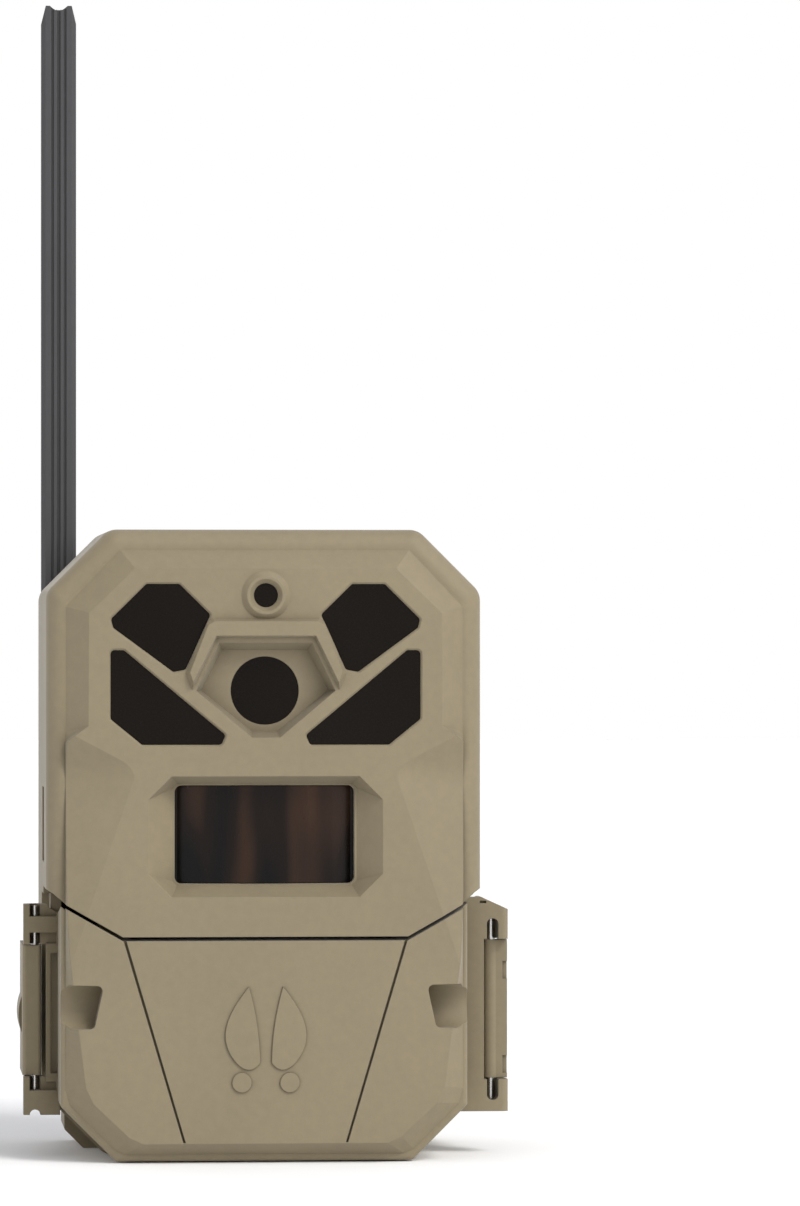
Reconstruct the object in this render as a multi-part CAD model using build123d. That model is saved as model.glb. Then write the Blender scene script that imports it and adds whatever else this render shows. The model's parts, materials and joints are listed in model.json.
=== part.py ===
from build123d import *
import os

# Trail camera, in millimetres. +Z is up, the lenses look along -Y, and +X is the hinge side.
# Shapes are drawn about the body's middle, and save() moves them so that the origin is at the
# bottom centre of the whole camera, with its hinge, latch and raised antenna.

# Body
HALF_WIDTH = 56.2
HEIGHT = 163.0
CORNER = 16.2  # 45 degree corner cuts
CORNER_ROUND = 5.0
Y_MOST_FRONT = -42.0
Y_FACE = -40.4
Y_BAND = -36.2  # where the raised front plateau meets the rounded rim
RIM_ROUND = 5.2
Y_SPLIT = 2.0  # front and rear housings meet here
Y_BACK = 34.0
Y_MOST_BACK = 42.0
WALL = 2.8

# Door and what it closes
DOOR_HALF_WIDTH = 52.5
DOOR_BOTTOM = 0.4
Y_DOOR_BACK = -12.0
Y_SKIRT = -11.2  # front plane of the skirt behind the door
SKIRT_HALF_WIDTH = 54.3
SKIRT_PLATE = 2.4
SEAM_GAP = 1.0
SEAM = [(36.7, 58.3), (51.0, 66.4), (54.5, 69.4)]
SWING_START = 0.6  # relief of the door's left shoulder at its front and at its back
SWING_END = 5.2
EAR_ROOT = 55.0  # the relief also trims the latch ear's root, this far out
DOOR_WALL = 2.6

# Hinge and latch pins, both upright
PIN_Y = -10.0
HINGE_X = 61.35
LATCH_X = -58.45
PIN_RADIUS = 1.1
PIN_BORE = 1.16
FRAME_LOW = 11.1
FRAME_HIGH = 67.2
BARREL_LOW = 19.7
BARREL_HIGH = 55.9
SLOT_LOW = 15.5  # middles of the round ends of the two slots that show the pin
SLOT_HIGH = 60.1
EAR_LOW = 10.8
EAR_HIGH = 65.6
LEVER_LOW = 21.0
LEVER_HIGH = 54.9
THUMB_Z = 36.4
RIGHT_EXTENT = 65.5
LEFT_EXTENT = -62.5
CENTRE_SHIFT = -(RIGHT_EXTENT + LEFT_EXTENT) / 2  # from the middle of the body to the middle of the camera

# Optics
LENS_Z = 121.5
LENS_RADIUS = 8.8
SENSOR_Z = 146.0
SENSOR_RADIUS = 3.1
RECESS_DEPTH = 4.4

# Battery tray: twelve cells lying front to back
CELL_RADIUS = 7.2
CELL_LENGTH = 50.3
CELL_PITCH = 15.0
TRAY_X = -5.0
TRAY_Z = 30.0
TRAY_HALF = (31.2, 23.6)
TRAY_FRONT = -26.0
TRAY_BACK = 29.9

# Antenna
ANTENNA_X = -50.5
ANTENNA_PIVOT_Z = 136.0
ANTENNA_TOP = 305.5
ANTENNA_WIDTH = 9.4
ANTENNA_THICK = 4.6

# Housing screws and the tree bracket's rails
RIB_X = 30.0
SCREW_RIGHT = [(50.6, 24), (50.8, 76), (50.8, 114), (26, 158)]
SCREW_PLACES = [(side * x, z) for x, z in SCREW_RIGHT for side in (-1, 1)]
SCREW_RADIUS = 1.5
BOSS_RADIUS = 3.2
SCREW_TIP = -5.0

# Control panel behind the door
PANEL_FRONT = Y_SKIRT + SKIRT_PLATE
PANEL_BACK = PANEL_FRONT + 2.0
POWER_BUTTON = (34.0, 44.0)
MODE_BUTTON = (34.0, 31.0)
LIGHT_PLACES = [(30.0 + 3.4 * i, 17.0) for i in range(4)]
CARD_X = 44.5
CARD_Z = (15.5, 39.5)
CARD_FRONT = -10.6
BOARD_FRONT = -4.0  # main board
LED_BOARD_FRONT = -33.2
HOLDER_FRONT = -16.0
PIR_FLANGE = -32.8
CELL_FRONT = -20.4
BAY_BACK = 30.9
Y_FRAME = -14.8  # front plane of the hinge frame and latch ears
TAIL_END = 12.0  # where the latch lever's tail ends
THUMB_ARC = 14.0
TRIPOD_RADIUS = 2.55
TRIPOD_SEAT = 4.0
ANTENNA_FRONT = 37.1
BASE_BACK = 36.9
DC_X = 33.2
TRIPOD_Z = 92.3
REAR_CENTRE_Y = 20.0

PARTS = "parts"
os.makedirs(PARTS, exist_ok=True)


def save(name, solids):
    """Write one node. A list becomes a group of separate solids."""
    if isinstance(solids, (list, tuple)):
        solids = Compound(children=[Pos(CENTRE_SHIFT, 0, 0) * solid for solid in solids])
    else:
        solids = Pos(CENTRE_SHIFT, 0, 0) * solids
    export_step(solids, f"{PARTS}/{name}.step")


def box(x0, x1, y0, y1, z0, z1):
    """An axis-aligned block from its limits."""
    return Pos((x0 + x1) / 2, (y0 + y1) / 2, (z0 + z1) / 2) * Box(x1 - x0, y1 - y0, z1 - z0)


def rod_z(x, y, z0, z1, radius):
    """An upright cylinder."""
    return Pos(x, y, (z0 + z1) / 2) * Cylinder(radius, z1 - z0)


def rod_y(x, z, y0, y1, radius):
    """A cylinder that lies front to back."""
    return Pos(x, (y0 + y1) / 2, z) * Rot(90, 0, 0) * Cylinder(radius, y1 - y0)


def cone_y(x, z, y0, front_radius, y1, back_radius):
    """A cone along Y whose radius changes from front to back."""
    return Pos(x, (y0 + y1) / 2, z) * Rot(-90, 0, 0) * Cone(front_radius, back_radius, y1 - y0)


def rod_x(y, z, x0, x1, radius):
    """A cylinder that lies left to right."""
    return Pos((x0 + x1) / 2, y, z) * Rot(0, 90, 0) * Cylinder(radius, x1 - x0)


def outline(points, y, corner=0.0, grow=0.0):
    """A face in the plane at depth y from (x, z) points, with optional round corners and offset."""
    wire = Polyline(*[Vector(x, z) for x, z in points], close=True)
    face = make_face(wire)
    if grow:
        face = offset(face, grow, kind=Kind.INTERSECTION)
    if corner:
        face = fillet(face.vertices(), corner)
    return Plane(origin=(0, y, 0), x_dir=(1, 0, 0), z_dir=(0, -1, 0)) * face


def slab(points, y0, y1, corner=0.0, grow=0.0):
    """A prism of an (x, z) outline between two depths."""
    return extrude(outline(points, y1, corner, grow), amount=y1 - y0)


def frustum(front, y0, back, y1):
    """A straight-sided solid between two outlines with the same number of points."""
    return loft([outline(front, y0), outline(back, y1)], ruled=True)


def mirrored(right):
    """Close a right-hand outline, given from the top down, with its mirror image."""
    return right + [(-x, z) for x, z in reversed(right)]


def octagon(half, low, high, low_cut, high_cut):
    """An outline that is symmetric about the middle, with its four corners cut at 45 degrees."""
    right = [(half - high_cut, high), (half, high - high_cut), (half, low + low_cut), (half - low_cut, low)]
    return mirrored(right)


def flip(solid):
    """The same shape on the other side of the camera's middle plane."""
    return mirror(solid, about=Plane.YZ)


# ---------------------------------------------------------------- outer form

BODY = octagon(HALF_WIDTH, 0.0, HEIGHT, CORNER, CORNER)

PLATEAU_FRONT = [
    (33.6, 152.9), (45.4, 141.4), (45.5, 112.5), (51.0, 108.6), (51.0, 70.0),
    (50.2, 52.0), (46.2, 19.7), (44.2, 15.5), (35.1, 6.9), (31.4, 5.2),
]
PLATEAU_BACK = [
    (37.3, 157.7), (51.2, 143.1), (51.2, 110.8), (51.3, 108.0), (51.3, 70.0),
    (51.3, 52.0), (51.3, 18.9), (50.2, 15.0), (38.4, 3.2), (36.0, 2.2),
]


def upper_block():
    """The tall front block: an octagon with a rounded rim."""
    block = slab(BODY, Y_BAND, Y_SPLIT, CORNER_ROUND)
    rim = block.faces().sort_by(Axis.Y)[0].edges()
    return fillet(rim, RIM_ROUND - 0.2)


def lower_block():
    """The narrower block that the door is cut from."""
    points = octagon(DOOR_HALF_WIDTH, DOOR_BOTTOM, 80.0, CORNER - 2.0, 1.0)
    block = slab(points, Y_BAND, Y_DOOR_BACK, 0.9)
    rim = block.faces().sort_by(Axis.Y)[0].edges()
    return fillet(rim, 1.2)


def plateau():
    """The raised face that stands forward of the rounded rim."""
    return frustum(mirrored(PLATEAU_FRONT), Y_FACE, mirrored(PLATEAU_BACK), Y_BAND)


def cheek():
    """The cutter of the sloping facet on the right of the front face, with a soft upper end."""
    apex = Vector(33.0, Y_FACE, 101.5)
    run = (Vector(60.0, Y_FACE + 6.4, 99.0) - apex).normalized()
    down = Vector(49.8, Y_FACE, 52.0) - apex
    up = Vector(55.0, Y_FACE, 113.0) - apex
    down = (down - run * down.dot(run)).normalized()
    up = (up - run * up.dot(run)).normalized()
    across = run.cross(down)
    reach = 100.0
    corners = [(0, 0), (reach, 0), (reach * up.dot(down), reach * up.dot(across))]
    face = make_face(Polyline(*[Vector(a, b) for a, b in corners], close=True))
    tip = face.vertices().sort_by_distance((0, 0, 0))[0]
    face = fillet(tip, 14.0)
    return extrude(Plane(origin=apex - run * 30.0, x_dir=down, z_dir=run) * face, amount=80.0)


def seam_region(gap):
    """Everything in front below the seam, lowered by the seam's gap when gap is negative."""
    right = [(70.0, SEAM[2][1] + 9.0 + gap)] + [(x, z + gap) for x, z in reversed(SEAM)]
    points = right + [(-x, z) for x, z in reversed(right)] + [(-70.0, -20.0), (70.0, -20.0)]
    return slab(points, Y_MOST_FRONT - 5.0, Y_DOOR_BACK)


# ---------------------------------------------------------------- windows in the front

IR_UPPER = [
    (22.2, 148.9), (30.7, 148.9), (39.8, 139.9), (39.2, 137.6), (23.8, 126.3), (20.6, 126.9), (14.2, 141.0),
]
IR_LOWER = [(39.9, 131.9), (36.4, 131.9), (10.3, 110.1), (11.4, 107.6), (31.8, 107.6), (39.9, 114.2)]
LENS_RECESS = mirrored([(12.4, 134.7), (18.6, 121.5), (3.8, 108.8)])
LENS_FLOOR = mirrored([(11.0, 132.0), (16.4, 121.5), (3.2, 110.9)])
RIDGE_FOOT = mirrored([(13.8, 140.3), (15.9, 139.0), (20.9, 126.0), (19.0, 121.2), (12.5, 134.9)])
RIDGE_TOP = mirrored([(13.2, 139.3), (14.9, 138.3), (19.6, 126.2), (18.7, 123.6), (12.8, 135.6)])
PIR_OUTER = octagon(30.2, 68.5, 99.5, 6.0, 6.0)
PIR_THROAT = octagon(23.8, 71.3, 97.6, 1.2, 1.2)
PIR_OPENING = [(23.2, 97.1), (23.2, 71.8), (-23.2, 71.8), (-23.2, 97.1)]


def window_outlines():
    """Name and outline of the four infrared windows."""
    left = [(-x, z) for x, z in reversed(IR_UPPER)]
    low_left = [(-x, z) for x, z in reversed(IR_LOWER)]
    return {
        "ir_window_upper_right": IR_UPPER,
        "ir_window_upper_left": left,
        "ir_window_lower_right": IR_LOWER,
        "ir_window_lower_left": low_left,
    }


def front_housing():
    """Front shell: the upper face with its windows, and the skirt that the door closes on."""
    form = upper_block() + plateau()
    form -= cheek()
    form -= flip(cheek())
    form -= seam_region(0.0)

    # Skirt behind the door, narrower than the rest
    form -= box(SKIRT_HALF_WIDTH, 70, Y_DOOR_BACK - 40, Y_SPLIT + 1, -1, FRAME_HIGH + 1.2)
    form -= box(-70, -SKIRT_HALF_WIDTH, Y_DOOR_BACK - 40, Y_SPLIT + 1, -1, FRAME_HIGH + 1.2)
    form -= box(-70, 70, Y_DOOR_BACK - 0.1, Y_SKIRT, -1, 57.0)

    # Raised surround of the lens and the light sensor
    form += frustum(RIDGE_TOP, Y_MOST_FRONT, RIDGE_FOOT, Y_FACE + 0.4)
    form += cone_y(0, SENSOR_Z, Y_FACE - 1.2, 4.9, Y_FACE + 0.4, 6.8)

    # Hollow inside
    inner = octagon(HALF_WIDTH - WALL, WALL, HEIGHT - WALL, CORNER - 1.2, CORNER - 1.2)
    upper = slab(inner, Y_FACE + WALL + 4.2, Y_SPLIT + 1, 3.0)
    upper -= seam_region(WALL)
    upper -= box(-70, 70, -60, Y_SKIRT + SKIRT_PLATE, -1, 60)
    for side in (-1, 1):
        upper -= Pos(side * 61.5, 0, 35.0) * Box(20, 100, 72)
    shallow = octagon(43.5, 62.0, 151.0, 4.0, 12.0)
    upper += slab(shallow, Y_FACE + WALL, Y_FACE + WALL + 5.0, 2.0)
    lower_inner = octagon(SKIRT_HALF_WIDTH - WALL, WALL, 76.0, CORNER - 1.2, 1.0)
    lower = slab(lower_inner, Y_SKIRT + SKIRT_PLATE, Y_SPLIT + 1, 0.9)
    form -= upper
    form -= lower

    # Opening for the battery tray and controls, closed by the control panel
    form -= box(-49.0, 49.0, Y_SKIRT - 1, Y_SKIRT + 3, 4.4, 54.6) - cut_corner_wedges()

    # Screw posts
    for x, z in SCREW_PLACES:
        form += rod_y(x, z, PANEL_BACK + 0.2, Y_SPLIT, BOSS_RADIUS)
        form -= rod_y(x, z, SCREW_TIP, Y_SPLIT + 1, SCREW_RADIUS + 0.04)

    # Lens recess with a floor
    form += slab(mirrored([(15, 137), (20.5, 121.5), (4.5, 106.5)]), Y_FACE + WALL - 0.4, Y_FACE + RECESS_DEPTH + 2.6)
    form -= frustum(LENS_RECESS, Y_FACE - 2.0, LENS_FLOOR, Y_FACE + RECESS_DEPTH)
    form -= rod_y(0, LENS_Z, Y_FACE - 1, Y_FACE + 9, LENS_RADIUS)
    form -= rod_y(0, SENSOR_Z, Y_FACE - 3, Y_FACE + 9, SENSOR_RADIUS)
    form -= cone_y(0, SENSOR_Z, Y_FACE - 1.3, 4.3, Y_FACE - 0.1, SENSOR_RADIUS)

    # Window openings
    for points in window_outlines().values():
        form -= slab(points, Y_FACE - 3, Y_FACE + 6, 1.0)
        bevel = [outline(points, Y_FACE - 0.02, 1.3, 0.45), outline(points, Y_FACE + 0.45, 1.0)]
        form -= loft(bevel, ruled=True)
    form += slab(octagon(28.0, 67.6, 101.2, 3.0, 3.0), Y_FACE + WALL - 0.4, Y_FACE + 7.4)
    form -= frustum(PIR_OUTER, Y_FACE - 0.02, PIR_THROAT, Y_FACE + 4.8)
    form -= slab(PIR_OPENING, Y_FACE - 1, Y_FACE + 9, 1.8)

    # Seal groove, and a shallow slot in each side wall
    form -= housing_seal()
    form -= box(-HALF_WIDTH - 1, -HALF_WIDTH + 0.9, -16, -4, 76.7, 96.2)
    form -= box(HALF_WIDTH - 0.9, HALF_WIDTH + 1, -16, -4, 117.5, 135.2)
    return largest(form)


def cut_corner_wedges():
    """The two lower corners of the front opening follow the body's corner cuts."""
    wedge = slab([(38.0, 4.4), (49.5, 4.4), (49.5, 15.9)], Y_SKIRT - 1, Y_SKIRT + 3)
    return wedge + flip(wedge)


def housing_seal():
    """The seal between the housings, half sunk in each."""
    outer = octagon(SKIRT_HALF_WIDTH - 0.8, 1.0, HEIGHT - 1.0, CORNER - 1.2, CORNER - 0.4)
    inner = octagon(SKIRT_HALF_WIDTH - 1.8, 2.0, HEIGHT - 2.0, CORNER - 1.6, CORNER - 0.8)
    return slab(outer, Y_SPLIT - 0.5, Y_SPLIT + 0.5, 3.0) - slab(inner, Y_SPLIT - 1, Y_SPLIT + 1, 3.0)


def largest(shape):
    """The main solid of a cut, without any loose sliver."""
    return sorted(shape.solids(), key=lambda s: s.volume)[-1]




# ---------------------------------------------------------------- rear housing


def rear_housing():
    """Rear shell with a tree bracket, strap slots, tripod boss and antenna seat."""
    shell = slab(BODY, Y_SPLIT, Y_BACK, CORNER_ROUND)
    shell = fillet(shell.faces().sort_by(Axis.Y)[-1].edges(), 4.0)
    foot = slab(octagon(50.0, 0.0, 24.0, 5.0, 1.0), 9.0, Y_BACK, 0.9)
    shell += foot
    inner = octagon(HALF_WIDTH - WALL, WALL, HEIGHT - WALL, CORNER - 1.2, CORNER - 1.2)
    shell -= slab(inner, Y_SPLIT + 1.5, Y_BACK - WALL, 3.0)
    mouth = octagon(SKIRT_HALF_WIDTH - WALL, WALL, HEIGHT - WALL, CORNER - 1.2, CORNER - 1.2)
    shell -= slab(mouth, Y_SPLIT - 1, Y_SPLIT + 2, 3.0)

    # Tree bracket: two saw-toothed rails and two cross bars that stand off the back
    rail = slab(octagon(5.0, 22.0, 148.0, 4.0, 4.0), Y_BACK - 0.5, Y_MOST_BACK)
    shell += Pos(RIB_X, 0, 0) * rail
    shell += Pos(-RIB_X, 0, 0) * rail
    for z in (40.0, 85.0, 130.0):
        shell += box(-RIB_X, RIB_X, Y_BACK - 0.5, Y_MOST_BACK - 4.5, z - 3.5, z + 3.5)
    for z in range(28, 146, 9):
        notch = Pos(0, Y_MOST_BACK + 0.9, z) * Rot(45, 0, 0) * Box(90, 2.6, 2.6)
        shell -= notch

    # Strap slots through both rails, and the lock-cable passage
    for z in (62.0, 108.0):
        shell -= box(-44, 44, Y_BACK + 1.2, Y_MOST_BACK - 2.2, z - 14.0, z + 14.0)
    shell -= rod_x(Y_BACK + 4.0, 28.5, -44, 44, 3.2)

    # Tripod socket boss on the inside of the back, and the power inlet in the floor
    shell += rod_y(0, TRIPOD_Z, Y_BACK - 13.0, Y_BACK - WALL + 0.5, 6.5)
    shell -= rod_y(0, TRIPOD_Z, Y_BACK - 11.0, Y_BACK + 1.0, TRIPOD_SEAT)
    shell -= rod_z(DC_X, REAR_CENTRE_Y, -1, WALL + 1, 4.6)

    # Seal groove, and the seat of the antenna base
    shell -= housing_seal()
    shell -= antenna_seat(0.0)

    # Hinge barrel for the door's pin, on a leaf that reaches forward from the side wall
    barrel = rod_z(HINGE_X, PIN_Y, BARREL_LOW, BARREL_HIGH, 2.0)
    barrel += box(HINGE_X, RIGHT_EXTENT, PIN_Y - 1.6, PIN_Y + 2.6, BARREL_LOW, BARREL_HIGH)
    barrel += box(HINGE_X - 1.6, HINGE_X + 1.0, PIN_Y, Y_SPLIT + 6.0, BARREL_LOW, BARREL_HIGH)
    barrel += box(HALF_WIDTH - 1.4, HINGE_X + 1.0, Y_SPLIT + 0.2, Y_SPLIT + 6.0, BARREL_LOW, BARREL_HIGH)
    for z in (23.2, 47.9):
        barrel -= box(RIGHT_EXTENT - 1.2, RIGHT_EXTENT + 1, PIN_Y - 3, PIN_Y - 0.8, z - 2.3, z + 2.3)
    shell += barrel
    shell -= rod_z(HINGE_X, PIN_Y, 0, 80, PIN_BORE)

    # Screw bosses
    for x, z in SCREW_PLACES:
        shell += rod_y(x, z, Y_SPLIT + 0.8, Y_BACK - WALL + 0.2, BOSS_RADIUS)
        shell -= rod_y(x, z, Y_SPLIT - 1, Y_BACK + 1, SCREW_RADIUS)
        shell -= rod_y(x, z, Y_BACK - 2.2, Y_BACK + 1, 2.8)
    return largest(shell)


def save_fasteners():
    """Eight screws that hold the two housings together from the back."""
    screws = []
    for x, z in SCREW_PLACES:
        shank = rod_y(x, z, SCREW_TIP, Y_BACK - 2.2, SCREW_RADIUS)
        head = rod_y(x, z, Y_BACK - 2.2, Y_BACK - 0.4, 2.6)
        drive = Pos(x, Y_BACK, z) * Box(2.4, 1.8, 0.7) + Pos(x, Y_BACK, z) * Box(0.7, 1.8, 2.4)
        screws.append((shank + head - drive).solid())
    save("housing_screws", screws)


def antenna_seat(gap):
    """The block of space at the upper left of the back that takes the antenna base."""
    return box(-55.6 - gap, -46.1 + gap, 31.4 - gap, 40.0, 125.0 - gap, 146.0 + gap)


# ---------------------------------------------------------------- door


def shoulder(shift):
    """The space over the seam on the left, moved further left by the given distance."""
    edge = [(-30.0, SEAM[0][1] - SEAM_GAP)] + [(-x - shift, z - SEAM_GAP) for x, z in SEAM]
    return edge + [(-75.0, 80.0), (-75.0, 95.0), (-30.0, 95.0)]


def swing_relief():
    """Room over the door's left shoulder, so that its back edge clears the seam as the door swings."""
    front = frustum(shoulder(SWING_START), Y_BAND, shoulder(SWING_END), Y_DOOR_BACK)
    return front + slab(shoulder(SWING_END), Y_DOOR_BACK, PIN_Y)


def door_hollow(y0, y1, half, low, cut):
    """One step of the door's hollow, kept clear of the wall under the seam."""
    step = slab(octagon(half, low, 90.0, cut, 1.0), y0, y1, 0.9)
    return (step & Pos(0, 0, -DOOR_WALL) * seam_region(-SEAM_GAP)) - Pos(0, 0, -DOOR_WALL) * swing_relief()


def finger_pocket():
    """A scooped grip in the door's right edge."""
    side = slab([(41.6, 45.8), (58.0, 46.2), (58.0, 34.4), (44.0, 34.8)], Y_FACE - 3, Y_FACE + 8, 1.4)
    return side & rod_x(Y_FACE + 0.6, 40.3, 30, 60, 5.9)


def door_groove():
    """A fine sloping line down the door."""
    run = [(36.9, 58.6), (36.2, 58.6), (20.6, 5.5), (21.2, 5.5)]
    return slab(run, Y_FACE - 1, Y_FACE + 1.2)


def track_emblem():
    """A raised deer track: two pointed toes and two dew claws."""
    toe_edge = [
        Spline((1.5, 26.0), (4.6, 24.2), (8.8, 27.6), (10.4, 33.6), (8.0, 40.4), (4.4, 45.5)),
        ThreePointArc((4.4, 45.5), (2.3, 36.0), (1.5, 26.0)),
    ]
    claw_edge = [
        ThreePointArc((4.2, 22.4), (6.0, 18.4), (8.6, 21.4)),
        ThreePointArc((8.6, 21.4), (6.8, 23.4), (4.2, 22.4)),
    ]
    emblem = None
    for edges in (toe_edge, claw_edge):
        face = Plane(origin=(0, Y_FACE + 0.3, 0), x_dir=(1, 0, 0), z_dir=(0, -1, 0)) * make_face(edges)
        for solid in (extrude(face, amount=0.75), flip(extrude(face, amount=0.75))):
            emblem = solid if emblem is None else emblem + solid
    return emblem


def hinge_frame():
    """The C-shaped frame on the door's right edge, with its two pin ears."""
    outer = box(DOOR_HALF_WIDTH - 0.6, RIGHT_EXTENT, Y_FRAME, PIN_Y, FRAME_LOW, FRAME_HIGH)
    edge = outer.edges().filter_by(Axis.Z).group_by(Axis.X)[-1].sort_by(Axis.Y)[0]
    outer = fillet(edge, 1.6)
    nose = rod_z(HINGE_X, PIN_Y, FRAME_LOW, FRAME_HIGH, RIGHT_EXTENT - HINGE_X)
    frame = outer - box(DOOR_HALF_WIDTH - 3, HINGE_X - 2.3, Y_DOOR_BACK, PIN_Y + 1, 0, 80) + nose
    frame -= box(HINGE_X - 2.3, RIGHT_EXTENT + 1, Y_FRAME - 1, PIN_Y + 6, BARREL_LOW - 0.3, BARREL_HIGH + 0.3)
    for low, high in ((BARREL_HIGH, SLOT_HIGH), (SLOT_LOW, BARREL_LOW)):
        frame -= box(HINGE_X - 1.5, HINGE_X + 1.5, Y_FRAME - 1, PIN_Y, low, high)
    for z in (SLOT_HIGH, SLOT_LOW):
        frame -= rod_y(HINGE_X, z, Y_FRAME - 1, PIN_Y, 1.5)
    frame -= slab([(56.9, 67.9), (66.5, 63.5), (66.5, 72.0), (56.9, 72.0)], Y_FRAME - 1, PIN_Y + 6)
    frame -= box(HINGE_X - 3.4, HINGE_X - 1.7, Y_FRAME - 1, Y_FRAME + 1.0, 65.6, 66.2)
    frame -= box(DOOR_HALF_WIDTH - 2, DOOR_HALF_WIDTH + 0.6, Y_FRAME - 1, PIN_Y, FRAME_HIGH - SEAM_GAP, 70)
    frame -= rod_z(HINGE_X, PIN_Y, 0, 80, PIN_RADIUS)
    return frame


def latch_brackets():
    """Two ears on the door's left edge that carry the latch pin, and the rail beside the lever."""
    ears = None
    for low, high in ((EAR_LOW, LEVER_LOW - 0.3), (LEVER_HIGH + 0.3, EAR_HIGH)):
        ear = box(LATCH_X - 3.0, -DOOR_HALF_WIDTH + 0.6, Y_FRAME, Y_DOOR_BACK, low, high)
        ear += box(LATCH_X - 3.0, LATCH_X + 3.0, Y_FRAME, PIN_Y, low, high)
        ear += rod_z(LATCH_X, PIN_Y, low, high, 3.0)
        ears = ear if ears is None else ears + ear
    for low, high in ((62.5, EAR_HIGH + 0.1), (LEVER_HIGH + 0.2, 58.3), (17.2, LEVER_LOW - 0.2)):
        ears -= box(LATCH_X - 1.4, LATCH_X + 1.4, PIN_Y - 8, PIN_Y, low, high)
        ears -= box(LATCH_X + 1.3, -DOOR_HALF_WIDTH - 0.3, PIN_Y - 8, Y_FRAME + 1.6, low, high)
    ears -= rod_y(LATCH_X, EAR_LOW, Y_FRAME - 1, PIN_Y + 5, 1.4)
    rail = box(-55.6, -54.4, Y_FRAME + 0.6, PIN_Y - 2.8, 20.0, 54.6)
    lugs = box(-55.6, -DOOR_HALF_WIDTH + 0.6, Y_FRAME + 0.6, PIN_Y - 2.8, 52.9, 55.4)
    lugs += box(-55.6, -DOOR_HALF_WIDTH + 0.6, Y_FRAME + 0.6, PIN_Y - 2.8, 19.4, 21.6)
    ears = ears + rail + lugs
    return ears - rod_z(LATCH_X, PIN_Y, 0, 80, PIN_RADIUS)


def door():
    """The lower front cover: a shell with its hinge frame, latch ears, grips, lines and emblem."""
    form = lower_block() + plateau()
    form -= cheek()
    form -= flip(cheek())
    form &= seam_region(-SEAM_GAP)
    form &= slab(octagon(DOOR_HALF_WIDTH, DOOR_BOTTOM, 90.0, CORNER - 2.0, 1.0), Y_MOST_FRONT - 1, Y_DOOR_BACK)
    form -= door_hollow(Y_FACE + 8.2, Y_DOOR_BACK + 1, DOOR_HALF_WIDTH - DOOR_WALL, 3.2, CORNER - 2.4)
    form -= door_hollow(Y_FACE + DOOR_WALL, Y_FACE + 8.6, 39.0, 9.5, 6.0)
    form -= finger_pocket()
    form -= flip(finger_pocket())
    form -= door_groove()
    form -= flip(door_groove())
    form += track_emblem()
    form += hinge_frame()
    form += latch_brackets()
    form -= swing_relief() & box(-EAR_ROOT, 0, Y_MOST_FRONT, PIN_Y, 50, 80)
    return largest(form)


def latch_lever():
    """A lever on the latch pin: its tail lies along the side wall and has a thumb swelling."""
    low, high = LEVER_LOW, LEVER_HIGH
    lever = box(LATCH_X - 3.2, LATCH_X + 1.7, PIN_Y - 2.4, PIN_Y + 3.0, low, high)
    lever = fillet(lever.edges().filter_by(Axis.Z).sort_by(Axis.Y)[:2], 1.0)
    lever += box(LATCH_X - 3.2, LATCH_X - 0.7, PIN_Y, TAIL_END, low, high)
    thumb = box(LEFT_EXTENT, LATCH_X - 2.0, PIN_Y + 5.0, TAIL_END, THUMB_Z - 6, THUMB_Z + 6)
    thumb &= rod_y(LEFT_EXTENT + THUMB_ARC, THUMB_Z, PIN_Y + 4.0, TAIL_END + 1.0, THUMB_ARC)
    lever += thumb
    lever += box(LATCH_X - 1.2, -HALF_WIDTH - 0.5, Y_SPLIT + 1.0, Y_SPLIT + 3.0, low + 3, high - 3)
    return lever - rod_z(LATCH_X, PIN_Y, 0, 80, PIN_BORE)


# ---------------------------------------------------------------- optics and electronics


def ring_y(x, z, y0, y1, outer, inner):
    """A tube that lies along Y."""
    return rod_y(x, z, y0, y1, outer) - rod_y(x, z, y0 - 1, y1 + 1, inner)


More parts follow.
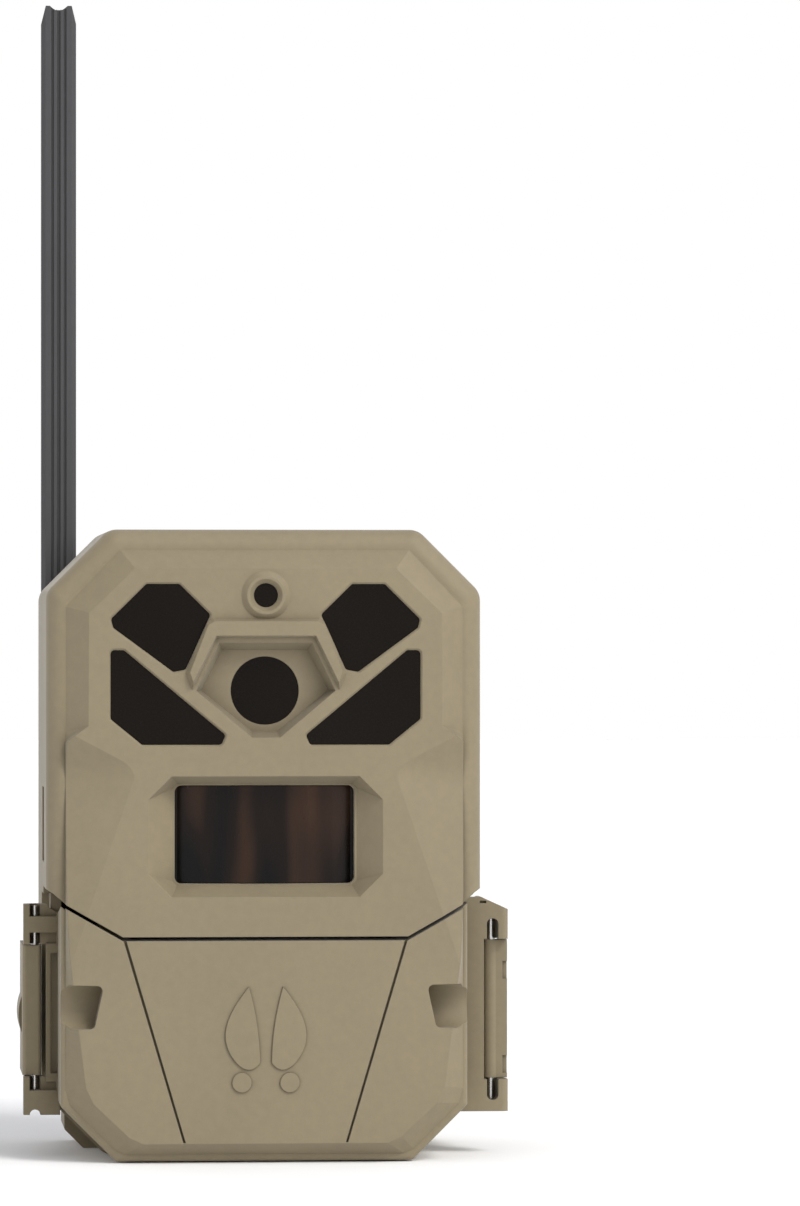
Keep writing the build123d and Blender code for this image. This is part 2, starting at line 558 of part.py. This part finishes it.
def save_optics():
    for name, points in window_outlines().items():
        pane = slab(points, Y_FACE + 0.6, Y_FACE + WALL, 1.0, -0.04)
        save(name, pane + slab(points, Y_FACE + WALL, Y_FACE + WALL + 0.8, 1.0, 0.7))
    save("lens_window", rod_y(0, LENS_Z, Y_FACE + 4.7, Y_FACE + 6.2, LENS_RADIUS - 0.03))
    save("light_sensor_window", rod_y(0, SENSOR_Z, Y_FACE + 0.2, Y_FACE + 1.8, SENSOR_RADIUS - 0.03))
    save("light_sensor", rod_y(0, SENSOR_Z, Y_FACE + 3.2, LED_BOARD_FRONT, 2.4))
    barrel = ring_y(0, LENS_Z, Y_FACE + 6.4, HOLDER_FRONT, 7.6, 6.2)
    save("lens_barrel", barrel)
    elements = [rod_y(0, LENS_Z, y, y + 2.2, 6.17) for y in (Y_FACE + 7.2, Y_FACE + 13.0, Y_FACE + 19.0)]
    save("lens_elements", elements)
    holder = box(-14, 14, HOLDER_FRONT, -5.6, LENS_Z - 10, LENS_Z + 10)
    holder -= rod_y(0, LENS_Z, HOLDER_FRONT - 1, -5, 4.6)
    holder -= box(-12.8, 12.8, -12.2, -10.8, LENS_Z - 5.5, LENS_Z + 5.5)
    save("lens_holder", holder)
    save("ir_cut_filter", box(-12.4, 4.8, -11.8, -11.2, LENS_Z - 5.1, LENS_Z + 5.1))
    save("image_sensor", box(-4.2, 4.2, -5.4, BOARD_FRONT, LENS_Z - 4.2, LENS_Z + 4.2))
    board = slab(octagon(41.0, 106.0, 149.6, 8.0, 10.0), LED_BOARD_FRONT, LED_BOARD_FRONT + 1.4)
    save("led_board", board - rod_y(0, LENS_Z, -50, 0, 8.2))
    places = [(22, 143.5), (29, 144), (25.5, 137), (32.5, 138.5), (24.5, 130.5), (31.5, 132.4),
              (36, 125), (36, 118), (29, 118), (30, 111.5), (22.5, 111.5), (15.5, 110.4)]
    leds = [rod_y(s * x, z, LED_BOARD_FRONT - 3.0, LED_BOARD_FRONT, 1.9) for x, z in places for s in (-1, 1)]
    save("ir_leds", leds)


def pir_lens():
    """A faceted lens panel with a flange behind the opening."""
    bend = [(-23.0, -32.6), (-17.6, -34.4), (-5.8, -35.8), (5.8, -35.8), (17.6, -34.4), (23.0, -32.6)]
    back = [(x, y + 0.9) for x, y in reversed(bend)]
    face = make_face(Polyline(*[Vector(x, y) for x, y in bend + back], close=True))
    panel = Pos(0, 0, 72.0) * extrude(face, amount=24.9)
    flange = box(-26.5, 26.5, PIR_FLANGE, PIR_FLANGE + 1.2, 68.6, 100.2)
    flange -= box(-22.2, 22.2, PIR_FLANGE - 1, PIR_FLANGE + 2, 73.0, 95.8)
    return panel + flange


def save_electronics():
    save("pir_fresnel_lens", pir_lens())
    save("pir_sensor", rod_y(0, 84.5, -16.0, -11.6, 4.6))
    board = box(-9, 9, -11.6, -10.2, 75.5, 93.5)
    for x in (-7, 7):
        for z in (77.5, 91.5):
            board += rod_y(x, z, -10.3, BOARD_FRONT, 1.4)
    save("pir_board", board)
    save("main_board", slab(octagon(46.0, 66.0, 150.0, 2.0, 8.0), BOARD_FRONT, BOARD_FRONT + 1.6))
    shield = box(-32, -2, BOARD_FRONT + 1.6, BOARD_FRONT + 5.0, 110, 142)
    save("modem_shield", fillet(shield.edges().filter_by(Axis.Y), 1.5))
    save("sim_holder", box(8, 26, BOARD_FRONT + 1.6, BOARD_FRONT + 4.0, 112, 128))
    chip = box(-7, 7, BOARD_FRONT + 1.6, BOARD_FRONT + 3.2, 84, 98)
    save("processor", chip)
    card_slot = box(CARD_X - 2.6, CARD_X + 2.6, PANEL_BACK, 24.0, CARD_Z[0] - 1.4, CARD_Z[1] + 1.4)
    card_slot -= box(CARD_X - 1.2, CARD_X + 1.2, PANEL_BACK - 1, 22.0, CARD_Z[0] - 0.15, CARD_Z[1] + 0.15)
    save("card_slot", card_slot)
    card = box(CARD_X - 1.05, CARD_X + 1.05, CARD_FRONT, CARD_FRONT + 32.0, *CARD_Z)
    edge = card.edges().filter_by(Axis.X).group_by(Axis.Y)[-1].sort_by(Axis.Z)[0]
    save("memory_card", chamfer(edge, 3.0))
    save("control_board", box(28.4, 41.2, -3.8, -2.4, 12, 53))
    switches = [box(x - 3, x + 3, -4.4, -3.8, z - 3, z + 3) for x, z in (POWER_BUTTON, MODE_BUTTON)]
    save("tact_switches", switches)
    lights = [rod_y(x, z, PANEL_FRONT - 0.4, -5.0, 0.96) for x, z in LIGHT_PLACES]
    save("status_light_pipes", lights)
    save("power_button", push_button(*POWER_BUTTON, 3.5))
    save("mode_button", push_button(*MODE_BUTTON, 2.7))


def push_button(x, z, radius):
    cap = rod_y(x, z, PANEL_FRONT - 1.2, PANEL_BACK + 1.2, radius)
    cap = fillet(cap.edges().sort_by(Axis.Y)[0], 0.5)
    return cap + rod_y(x, z, PANEL_BACK + 0.1, PANEL_BACK + 1.2, radius + 0.8)


# ---------------------------------------------------------------- power


def tray_box(grow, y0, y1):
    return box(TRAY_X - TRAY_HALF[0] - grow, TRAY_X + TRAY_HALF[0] + grow, y0, y1,
               TRAY_Z - TRAY_HALF[1] - grow, TRAY_Z + TRAY_HALF[1] + grow)


def cell_places():
    for column in range(4):
        for row in range(3):
            yield TRAY_X + (column - 1.5) * CELL_PITCH, TRAY_Z + (row - 1) * CELL_PITCH


def control_panel():
    """The inner front panel with the battery bay behind it."""
    points = octagon(SKIRT_HALF_WIDTH - WALL - 0.2, WALL + 0.2, 58.0, CORNER - 1.2, 1.0)
    panel = slab(points, PANEL_FRONT, PANEL_BACK, 0.8)
    panel += tray_box(1.2, PANEL_BACK - 0.5, BAY_BACK)
    panel -= tray_box(0.3, PANEL_FRONT - 1, BAY_BACK - 0.7)
    for (x, z), radius in ((POWER_BUTTON, 3.5), (MODE_BUTTON, 2.7)):
        panel -= rod_y(x, z, PANEL_FRONT - 1, PANEL_BACK + 1, radius + 0.12)
    for x, z in LIGHT_PLACES:
        panel -= rod_y(x, z, PANEL_FRONT - 1, PANEL_BACK + 1, 1.0)
    panel -= box(CARD_X - 1.5, CARD_X + 1.5, PANEL_FRONT - 1, PANEL_BACK + 1, CARD_Z[0] - 0.6, CARD_Z[1] + 0.6)
    return panel


def battery_tray():
    """A drawer bored for twelve cells, with a finger slot in its face."""
    tray = tray_box(0.0, TRAY_FRONT, TRAY_BACK)
    tray = fillet(tray.edges().filter_by(Axis.Y), 1.2)
    for x, z in cell_places():
        tray -= rod_y(x, z, CELL_FRONT - 2.6, TRAY_BACK + 1, CELL_RADIUS + 0.15)
    tray -= box(TRAY_X - 14, TRAY_X + 14, TRAY_FRONT - 1, TRAY_FRONT + 2.4, TRAY_Z - 5, TRAY_Z + 5)
    return tray


def save_power():
    save("control_panel", control_panel())
    save("battery_tray", battery_tray())
    cells, springs = [], []
    for x, z in cell_places():
        body = rod_y(x, z, CELL_FRONT, CELL_FRONT + CELL_LENGTH - 1.2, CELL_RADIUS)
        cells.append((body + rod_y(x, z, CELL_FRONT, CELL_FRONT + CELL_LENGTH, 2.7)).solid())
        for i, radius in enumerate((4.6, 3.6, 2.6)):
            ring = Torus(radius, 0.35)
            springs.append(Pos(x, CELL_FRONT - 2.2 + 0.8 * i, z) * Rot(90, 0, 0) * ring)
    save("aa_cells", cells)
    save("contact_springs", springs)
    contacts = [rod_y(x, z, BAY_BACK - 0.7 - 0.3, BAY_BACK - 0.7, 4.0) for x, z in cell_places()]
    save("bay_contacts", contacts)
    jack = rod_z(DC_X, REAR_CENTRE_Y, WALL, 14.0, 4.8) - rod_z(DC_X, REAR_CENTRE_Y, 0, 12.0, 3.2)
    save("dc_jack", jack + rod_z(DC_X, REAR_CENTRE_Y, 6.0, 12.5, 0.9))
    plug = rod_z(DC_X, REAR_CENTRE_Y, 0.4, 2.4, 4.4) + rod_z(DC_X, REAR_CENTRE_Y, 2.3, 5.4, 3.0)
    save("dc_plug", plug)


# ---------------------------------------------------------------- seals, pins, fittings


def save_seals():
    save("housing_gasket", housing_seal())
    ring = slab(octagon(51.6, 2.0, 56.8, 14.8, 1.6), Y_SKIRT - 0.5, Y_SKIRT, 0.8)
    ring -= slab(octagon(50.0, 3.6, 55.4, 14.2, 1.2), Y_SKIRT - 1, Y_SKIRT + 1, 0.8)
    save("door_gasket", ring)


def save_fittings():
    save("hinge_pin", rod_z(HINGE_X, PIN_Y, FRAME_LOW + 0.6, FRAME_HIGH - 2.2, PIN_RADIUS))
    save("latch_pin", rod_z(LATCH_X, PIN_Y, EAR_LOW + 1.9, EAR_HIGH - 0.4, PIN_RADIUS))
    save("tripod_insert", ring_y(0, TRIPOD_Z, Y_BACK - 10.8, Y_BACK - 0.2, TRIPOD_SEAT - 0.02, TRIPOD_RADIUS))


# ---------------------------------------------------------------- antenna


def antenna_blade():
    """A flat ribbed blade with a forked tip and a round pivot end."""
    half = ANTENNA_WIDTH / 2
    tip = ANTENNA_TOP
    right = [(1.0, tip - 1.1), (2.4, tip), (3.5, tip), (half, tip - 4.8), (half, ANTENNA_PIVOT_Z)]
    points = [(ANTENNA_X + x, z) for x, z in right]
    points += [(ANTENNA_X - x, z) for x, z in reversed(right)]
    blade = slab(points, ANTENNA_FRONT, ANTENNA_FRONT + ANTENNA_THICK)
    for corner in (-1, 1):
        for y in (ANTENNA_FRONT, ANTENNA_FRONT + ANTENNA_THICK):
            edge = Pos(ANTENNA_X + corner * half, y, 222.0) * Rot(0, 0, 45) * Box(1.5, 1.5, 240)
            blade -= edge
        groove = Pos(ANTENNA_X + corner * 1.7, ANTENNA_FRONT, 228.0) * Box(0.7, 1.0, 160)
        blade -= groove
        blade -= Pos(0, ANTENNA_THICK, 0) * groove
    blade -= Pos(ANTENNA_X, ANTENNA_FRONT, 228.0) * Box(0.9, 1.2, 170)
    blade += rod_y(ANTENNA_X, ANTENNA_PIVOT_Z, ANTENNA_FRONT, ANTENNA_FRONT + ANTENNA_THICK, half)
    blade -= rod_y(ANTENNA_X, ANTENNA_PIVOT_Z, ANTENNA_FRONT - 1, ANTENNA_FRONT + 9, 2.06)
    blade -= rod_y(ANTENNA_X, ANTENNA_PIVOT_Z, ANTENNA_FRONT + 2.9, ANTENNA_FRONT + 9, 3.4)
    return largest(blade)


def save_antenna():
    base = antenna_seat(-0.02) & box(-60, -40, 31, BASE_BACK, 120, 150)
    base = base - rod_y(ANTENNA_X, ANTENNA_PIVOT_Z, 32.4, 45, 2.0)
    save("antenna_base", base)
    save("antenna_blade", antenna_blade())
    screw = rod_y(ANTENNA_X, ANTENNA_PIVOT_Z, 32.6, ANTENNA_FRONT + 3.2, 2.0)
    head = rod_y(ANTENNA_X, ANTENNA_PIVOT_Z, ANTENNA_FRONT + 3.0, ANTENNA_FRONT + 4.4, 3.2)
    slot = Pos(ANTENNA_X, ANTENNA_FRONT + 4.6, ANTENNA_PIVOT_Z) * Box(5.6, 1.2, 0.8)
    save("antenna_screw", screw + head - slot)


# ---------------------------------------------------------------- build

save("front_housing", front_housing())
save("rear_housing", rear_housing())
save("door", door())
save("latch_lever", latch_lever())
save_fasteners()
save_optics()
save_electronics()
save_power()
save_seals()
save_fittings()
save_antenna()
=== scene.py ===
"""Trail camera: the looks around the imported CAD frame. Metres, +Z up, lenses towards -Y."""
import json
import math

import bpy
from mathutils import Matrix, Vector


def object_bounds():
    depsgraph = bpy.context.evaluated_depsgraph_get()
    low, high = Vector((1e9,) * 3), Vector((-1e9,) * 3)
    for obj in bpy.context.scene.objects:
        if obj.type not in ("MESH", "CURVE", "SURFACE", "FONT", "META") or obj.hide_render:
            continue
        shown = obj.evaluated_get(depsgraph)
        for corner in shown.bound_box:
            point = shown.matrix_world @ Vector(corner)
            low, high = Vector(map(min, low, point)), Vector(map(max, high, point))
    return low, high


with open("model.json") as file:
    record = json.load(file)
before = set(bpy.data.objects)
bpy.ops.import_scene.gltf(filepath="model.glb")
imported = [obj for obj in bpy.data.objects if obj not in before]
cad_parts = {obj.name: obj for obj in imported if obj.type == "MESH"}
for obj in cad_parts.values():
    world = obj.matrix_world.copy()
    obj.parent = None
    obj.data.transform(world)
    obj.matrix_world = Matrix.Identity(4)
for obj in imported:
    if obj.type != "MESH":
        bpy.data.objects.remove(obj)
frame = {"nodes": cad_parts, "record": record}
NODES = frame["nodes"]
CAD_LOW, CAD_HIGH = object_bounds()


def srgb(r, g, b):
    """A linear colour from 0-255 display values."""
    def linear(v):
        v /= 255
        return v / 12.92 if v <= 0.04045 else ((v + 0.055) / 1.055) ** 2.4
    return (linear(r), linear(g), linear(b), 1.0)


def shade(colour, factor):
    """The same colour, lighter or darker."""
    return (colour[0] * factor, colour[1] * factor, colour[2] * factor, 1.0)


# ---------------------------------------------------------------- camera

CAMERA_DISTANCE = 1.50
CAMERA_AZIMUTH = math.radians(-4.0)
CAMERA_HEIGHT = 0.135
VIEW_HEIGHT = 0.3092  # how much of the front plane the picture's height takes in
VIEW_CENTRE_X = 0.0357
VIEW_CENTRE_Z = 0.144
SENSOR = 36.0
CLIP_NEAR, CLIP_FAR = 0.05, 50


def make_camera():
    data = bpy.data.cameras.new("camera")
    camera = bpy.data.objects.new("camera", data)
    bpy.context.scene.collection.objects.link(camera)
    back = Vector((math.sin(CAMERA_AZIMUTH), -math.cos(CAMERA_AZIMUTH), 0))
    camera.location = back * CAMERA_DISTANCE + Vector((0, 0, CAMERA_HEIGHT))
    camera.rotation_euler = (math.pi / 2, 0, CAMERA_AZIMUTH)
    front_plane = CAMERA_DISTANCE + CAD_LOW.y
    data.sensor_width = SENSOR
    data.lens = SENSOR * front_plane / VIEW_HEIGHT
    data.shift_x = VIEW_CENTRE_X / VIEW_HEIGHT
    data.shift_y = (VIEW_CENTRE_Z - CAMERA_HEIGHT) / VIEW_HEIGHT
    data.clip_start, data.clip_end = CLIP_NEAR, CLIP_FAR
    bpy.context.scene.camera = camera


make_camera()

# ---------------------------------------------------------------- material building

BROAD_SCALE, FINE_SCALE, GRAIN_SCALE = 22.0, 420.0, 2600.0  # noise of mottling, specks and eroded grain
SPECK_AMOUNT = 0.6
# Sharp edges take a lighter colour between these cosines: partly wear, partly painted highlight.
WORN_AND_HIGHLIT_START, WORN_AND_HIGHLIT_FULL = 0.995, 0.82  # cosine between the true and the softened normal
WORN_AND_HIGHLIT_AMOUNT = 0.5
PAINTED_SHADE_REACH = 0.009  # how far a surface looks for neighbours that shade it, for the painted shade in its hollows
# The colour that hollows are multiplied towards: painted shade.
PAINTED_SHADE_TINT = (0.52, 0.49, 0.44, 1)
BLACK, WHITE = (0, 0, 0, 1), (1, 1, 1, 1)


class Shader:
    """A small helper that builds one node material."""

    def __init__(self, name):
        self.material = bpy.data.materials.new(name)
        self.material.use_nodes = True
        self.tree = self.material.node_tree
        self.main = self.tree.nodes["Principled BSDF"]

    def node(self, kind, **values):
        made = self.tree.nodes.new(kind)
        for key, value in values.items():
            if hasattr(made, key):
                setattr(made, key, value)
            else:
                made.inputs[key.replace("_", " ")].default_value = value
        return made

    def link(self, source, output, target, socket):
        self.tree.links.new(source.outputs[output], target.inputs[socket])

    def noise(self, scale, detail=3.0, rough=0.55, stretch=(1, 1, 1)):
        """Noise in the object's own metres."""
        place = self.node("ShaderNodeTexCoord")
        mapping = self.node("ShaderNodeMapping", Scale=stretch)
        self.link(place, "Object", mapping, "Vector")
        made = self.node("ShaderNodeTexNoise", Scale=scale, Detail=detail, Roughness=rough)
        self.link(mapping, "Vector", made, "Vector")
        return made

    def ramp(self, source, output, stops):
        made = self.node("ShaderNodeValToRGB")
        elements = made.color_ramp.elements
        elements[0].position, elements[0].color = stops[0]
        elements[1].position, elements[1].color = stops[-1]
        for position, colour in stops[1:-1]:
            extra = elements.new(position)
            extra.color = colour
        self.link(source, output, made, "Fac")
        return made

    def mix(self, factor, a, b, blend="MIX"):
        """Colour mix, given as (node, output); each of the three is such a pair or a plain value."""
        made = self.node("ShaderNodeMix", data_type="RGBA", blend_type=blend)
        sockets = {"Factor": made.inputs[0], "A": made.inputs[6], "B": made.inputs[7]}
        for key, value in (("Factor", factor), ("A", a), ("B", b)):
            if isinstance(value, tuple) and len(value) == 2:
                self.tree.links.new(value[0].outputs[value[1]], sockets[key])
            else:
                sockets[key].default_value = value
        return made, 2

    def set(self, **values):
        for key, value in values.items():
            self.main.inputs[key.replace("_", " ")].default_value = value

    def edges(self, radius):
        """Softened edge normals and a mask that is bright on sharp outer edges."""
        bevel = self.node("ShaderNodeBevel", samples=4, Radius=radius)
        geometry = self.node("ShaderNodeNewGeometry")
        dot = self.node("ShaderNodeVectorMath", operation="DOT_PRODUCT")
        self.link(bevel, "Normal", dot, 0)
        self.link(geometry, "Normal", dot, 1)
        mask = self.node("ShaderNodeMapRange", From_Min=WORN_AND_HIGHLIT_START, From_Max=WORN_AND_HIGHLIT_FULL)
        self.link(dot, "Value", mask, "Value")
        return bevel, mask

    def roughness(self, source, low, high):
        """Roughness that runs from low to high with a texture's Fac."""
        made = self.node("ShaderNodeMapRange", To_Min=low, To_Max=high)
        self.link(source, "Fac", made, "Value")
        self.link(made, "Result", self.main, "Roughness")

    def bump(self, layers, base=None):
        """Stack bump layers, each (node, output, distance, strength), over a base normal."""
        last = base
        for source, output, distance, strength in layers:
            made = self.node("ShaderNodeBump", Distance=distance, Strength=strength)
            self.link(source, output, made, "Height")
            if last is not None:
                self.link(last, "Normal", made, "Normal")
            last = made
        self.link(last, "Normal", self.main, "Normal")


def moulded_plastic(
    name,
    colour,
    rough=(0.55, 0.68),
    grain=0.00003,
    soft_edge=0.00035,
    wear_and_highlight_factor=1.16,
    specular=0.35,
    sheen=0.0,
):
    """Moulded plastic: fine eroded grain, soft edges lightened partly by wear and partly as painted
    highlight, faint mottling, and painted shade in its hollows.
    """
    s = Shader(name)
    broad = s.noise(BROAD_SCALE, 4.0)
    fine = s.noise(FINE_SCALE, 3.0)
    grain_noise = s.noise(GRAIN_SCALE, 2.0, 0.6)
    tint = s.ramp(broad, "Fac", [(0.30, shade(colour, 0.955)), (0.72, shade(colour, 1.04))])
    speck = s.ramp(fine, "Fac", [(0.35, (0.94, 0.94, 0.94, 1)), (0.65, (1.05, 1.05, 1.04, 1))])
    speckled = s.mix(SPECK_AMOUNT, (tint, "Color"), (speck, "Color"), "MULTIPLY")

    bevel, mask = s.edges(soft_edge)
    patchy = s.ramp(broad, "Fac", [(0.42, BLACK), (0.60, WHITE)])
    edge_wear_and_highlight_mask = s.node("ShaderNodeMath", operation="MULTIPLY")
    s.link(mask, "Result", edge_wear_and_highlight_mask, 0)
    s.link(patchy, "Color", edge_wear_and_highlight_mask, 1)
    part = s.node("ShaderNodeMath", operation="MULTIPLY")
    s.link(edge_wear_and_highlight_mask, "Value", part, 0)
    part.inputs[1].default_value = WORN_AND_HIGHLIT_AMOUNT
    # Edges take a lighter colour here: partly wear, partly painted highlight.
    worn_and_highlit_colour = s.mix((part, "Value"), speckled, shade(colour, wear_and_highlight_factor))

    # Painted shade: the colour darkens where nearby surfaces close in, in hollows, creases and between
    # parts.
    hollow = s.node("ShaderNodeAmbientOcclusion", samples=6, only_local=True, Distance=PAINTED_SHADE_REACH)
    open_part = s.ramp(hollow, "AO", [(0.35, BLACK), (0.95, WHITE)])
    darker = s.mix(1.0, worn_and_highlit_colour, PAINTED_SHADE_TINT, "MULTIPLY")
    painted_shade_colour = s.mix((open_part, "Color"), darker, worn_and_highlit_colour)
    s.link(*painted_shade_colour, s.main, "Base Color")

    s.roughness(fine, *rough)
    s.set(IOR=1.5, Specular_IOR_Level=specular, Sheen_Weight=sheen, Sheen_Roughness=0.4)
    s.bump([(grain_noise, "Fac", grain, 0.35), (broad, "Fac", grain * 4, 0.10)], bevel)
    return s.material


def tinted_gloss(name, colour, rough=(0.16, 0.26), specular=0.35, ripple=0.000006):
    """Dark see-through plastic, seen as near black, with faint dust and flow marks."""
    s = Shader(name)
    flow = s.noise(30.0, 3.0, 0.5, (1, 1, 0.3))
    dust = s.noise(1500.0, 2.0, 0.7)
    tint = s.ramp(flow, "Fac", [(0.3, shade(colour, 0.8)), (0.7, shade(colour, 1.25))])
    s.link(tint, "Color", s.main, "Base Color")
    s.roughness(dust, *rough)
    s.set(Specular_IOR_Level=specular)
    s.bump([(flow, "Fac", ripple * 8, 0.3), (dust, "Fac", ripple, 0.2)])
    return s.material


def fresnel_sheet(name):
    """Dark sheet with the fine upright ribs of a motion lens moulded into it; its colour runs in broad
    upright bands from its own near black to a lighter brown that is painted reflection.
    """
    s = Shader(name)
    place = s.node("ShaderNodeTexCoord")
    ribs = s.node("ShaderNodeTexWave", bands_direction="X", wave_profile="SAW", Scale=26.0, Distortion=0.25)
    s.link(place, "Object", ribs, "Vector")
    fine = s.noise(240.0, 3.0, 0.5, (1, 1, 0.12))
    broad = s.noise(52.0, 2.0, 0.45, (1, 0.05, 0.2))
    # Near black and dark brown are the sheet's own colour; the lighter brown stop is painted reflection.
    bands = [(0.44, srgb(7, 6, 6)), (0.51, srgb(22, 14, 10)), (0.60, srgb(58, 39, 27))]
    tint = s.ramp(broad, "Fac", bands)
    s.link(tint, "Color", s.main, "Base Color")
    s.roughness(fine, 0.20, 0.34)
    s.set(Specular_IOR_Level=0.15)
    s.bump([(ribs, "Fac", 0.0004, 0.35), (fine, "Fac", 0.0001, 0.25)])
    return s.material


def metal(name, colour, rough=(0.18, 0.34), stretch=(1, 1, 0.04)):
    """Drawn or turned metal with fine marks along its length."""
    s = Shader(name)
    marks = s.noise(1800.0, 3.0, 0.6, stretch)
    cloud = s.noise(60.0, 3.0)
    tint = s.ramp(cloud, "Fac", [(0.3, shade(colour, 0.86)), (0.7, shade(colour, 1.08))])
    s.link(tint, "Color", s.main, "Base Color")
    s.set(Metallic=1.0)
    s.roughness(marks, *rough)
    s.bump([(marks, "Fac", 0.00001, 0.3)])
    return s.material


def circuit_board(name):
    """Green solder mask over faint copper tracks."""
    s = Shader(name)
    place = s.node("ShaderNodeTexCoord")
    brick = s.node(
        "ShaderNodeTexBrick",
        Scale=180.0,
        Color1=(0.010, 0.085, 0.030, 1),
        Color2=(0.014, 0.120, 0.045, 1),
        Mortar=(0.006, 0.050, 0.018, 1),
    )
    turn = s.node("ShaderNodeMapping", Rotation=(math.pi / 2, 0, 0))
    s.link(place, "Object", turn, "Vector")
    s.link(turn, "Vector", brick, "Vector")
    s.link(brick, "Color", s.main, "Base Color")
    dust = s.noise(700.0)
    s.roughness(dust, 0.28, 0.45)
    s.bump([(brick, "Fac", 0.00002, 0.4)])
    return s.material


def clear_glass(name):
    """Slightly blue coated glass, thin enough to see through."""
    s = Shader(name)
    smear = s.noise(120.0)
    tint = s.ramp(smear, "Fac", [(0.3, (0.50, 0.56, 0.66, 1)), (0.7, (0.60, 0.66, 0.72, 1))])
    s.link(tint, "Color", s.main, "Base Color")
    s.set(Roughness=0.04, Alpha=0.45)
    s.bump([(smear, "Fac", 0.000004, 0.2)])
    return s.material


TAN = srgb(127, 116, 93)
MATERIALS = {
    "housing": moulded_plastic("tan_moulded", TAN, sheen=0.16),
    "window": tinted_gloss("ir_window", srgb(16, 11, 7), (0.22, 0.32), specular=0.10),
    "fresnel": fresnel_sheet("pir_lens"),
    "black_plastic": moulded_plastic("black_moulded", srgb(38, 38, 39), (0.45, 0.6)),
    # The antenna's edges are lightened strongly: partly wear, partly painted highlight.
    "antenna": moulded_plastic(
        "antenna_plastic",
        srgb(56, 56, 58),
        (0.38, 0.5),
        grain=0.00002,
        soft_edge=0.0003,
        wear_and_highlight_factor=1.6,
        specular=0.5,
    ),
    "rubber": moulded_plastic(
        "rubber", srgb(30, 30, 30), (0.7, 0.85), soft_edge=0.0003, wear_and_highlight_factor=1.2, specular=0.2
    ),
    "steel": metal("polished_steel", (0.62, 0.61, 0.59, 1)),
    "brass": metal("turned_brass", (0.72, 0.50, 0.20, 1), stretch=(1, 0.04, 1)),
    "board": circuit_board("circuit_board"),
    "component": moulded_plastic("component", srgb(52, 52, 54), (0.35, 0.5)),
    "cell": metal("cell_jacket", (0.16, 0.17, 0.19, 1), (0.25, 0.4), stretch=(1, 0.05, 1)),
    "lens_glass": clear_glass("lens_glass"),
    "light_pipe": tinted_gloss("light_pipe", (0.55, 0.62, 0.58, 1), (0.1, 0.2)),
    "led": tinted_gloss("led_dome", (0.10, 0.10, 0.11, 1), (0.05, 0.12)),
}


def dress_frame():
    """Every CAD node takes the material of its record slot."""
    for entry in frame["record"]["subparts"]:
        mesh = NODES[entry["node"]].data
        mesh.materials.clear()
        mesh.materials.append(MATERIALS[entry["material_slot"]])


dress_frame()

# ---------------------------------------------------------------- stage and light

FLOOR_REACH = 6.0
WORLD_STRENGTH = 1.0


def plane(name, corners, material):
    """A flat four-cornered piece of the stage."""
    mesh = bpy.data.meshes.new(name)
    mesh.from_pydata(corners, [], [(0, 1, 2, 3)])
    mesh.materials.append(material)
    made = bpy.data.objects.new(name, mesh)
    bpy.context.scene.collection.objects.link(made)
    return made


def paper(name):
    """Matt white card with a faint mottling."""
    s = Shader(name)
    fibre = s.noise(35.0, 4.0)
    tint = s.ramp(fibre, "Fac", [(0.3, (0.91, 0.91, 0.91, 1)), (0.7, (0.93, 0.93, 0.93, 1))])
    s.link(tint, "Color", s.main, "Base Color")
    s.set(Roughness=0.9, Specular_IOR_Level=0.1)
    return s.material


def make_stage():
    r = FLOOR_REACH
    floor = [(-r, -r, 0), (r, -r, 0), (r, r, 0), (-r, r, 0)]
    plane("floor", floor, paper("paper"))


def sun(name, azimuth, elevation, strength, spread, colour=(1, 1, 1)):
    """Parallel light from the given bearing, 0 at the camera's side and positive to its right."""
    data = bpy.data.lights.new(name, "SUN")
    data.energy = strength
    data.angle = math.radians(spread)
    data.color = colour
    light = bpy.data.objects.new(name, data)
    bpy.context.scene.collection.objects.link(light)
    a, e = math.radians(azimuth), math.radians(elevation)
    toward = Vector((math.sin(a) * math.cos(e), -math.cos(a) * math.cos(e), math.sin(e)))
    light.rotation_euler = (-toward).to_track_quat("-Z", "Y").to_euler()


def area_light(name, place, target, size, power):
    """A square softbox at a place, aimed at a target."""
    data = bpy.data.lights.new(name, "AREA")
    data.size = size
    data.energy = power
    light = bpy.data.objects.new(name, data)
    bpy.context.scene.collection.objects.link(light)
    light.location = place
    aim = Vector(target) - Vector(place)
    light.rotation_euler = aim.to_track_quat("-Z", "Y").to_euler()


def make_world():
    """White below and near the horizon, turning to a soft grey overhead."""
    world = bpy.data.worlds.new("studio")
    world.use_nodes = True
    tree = world.node_tree
    place = tree.nodes.new("ShaderNodeTexCoord")
    split = tree.nodes.new("ShaderNodeSeparateXYZ")
    ramp = tree.nodes.new("ShaderNodeValToRGB")
    tree.links.new(place.outputs["Generated"], split.inputs[0])
    tree.links.new(split.outputs["Z"], ramp.inputs["Fac"])
    elements = ramp.color_ramp.elements
    elements[0].position, elements[0].color = 0.30, (1, 1, 1, 1)
    elements[1].position, elements[1].color = 0.70, (0.66, 0.67, 0.71, 1)
    tree.links.new(ramp.outputs["Color"], tree.nodes["Background"].inputs["Color"])
    tree.nodes["Background"].inputs["Strength"].default_value = WORLD_STRENGTH
    bpy.context.scene.world = world


def make_light():
    """Key from the right, a softbox, and a wide low sun of which only the part above the floor counts."""
    sun("key", azimuth=42, elevation=47, strength=1.75, spread=22, colour=(1.0, 0.985, 0.955))
    sun("fill", azimuth=-40, elevation=-12, strength=0.34, spread=60)
    area_light("side", place=(0.42, -0.62, 0.34), target=(0, 0, 0.09), size=0.35, power=1.3)
    make_world()
    bpy.context.scene.view_settings.view_transform = "Standard"


make_stage()
make_light()
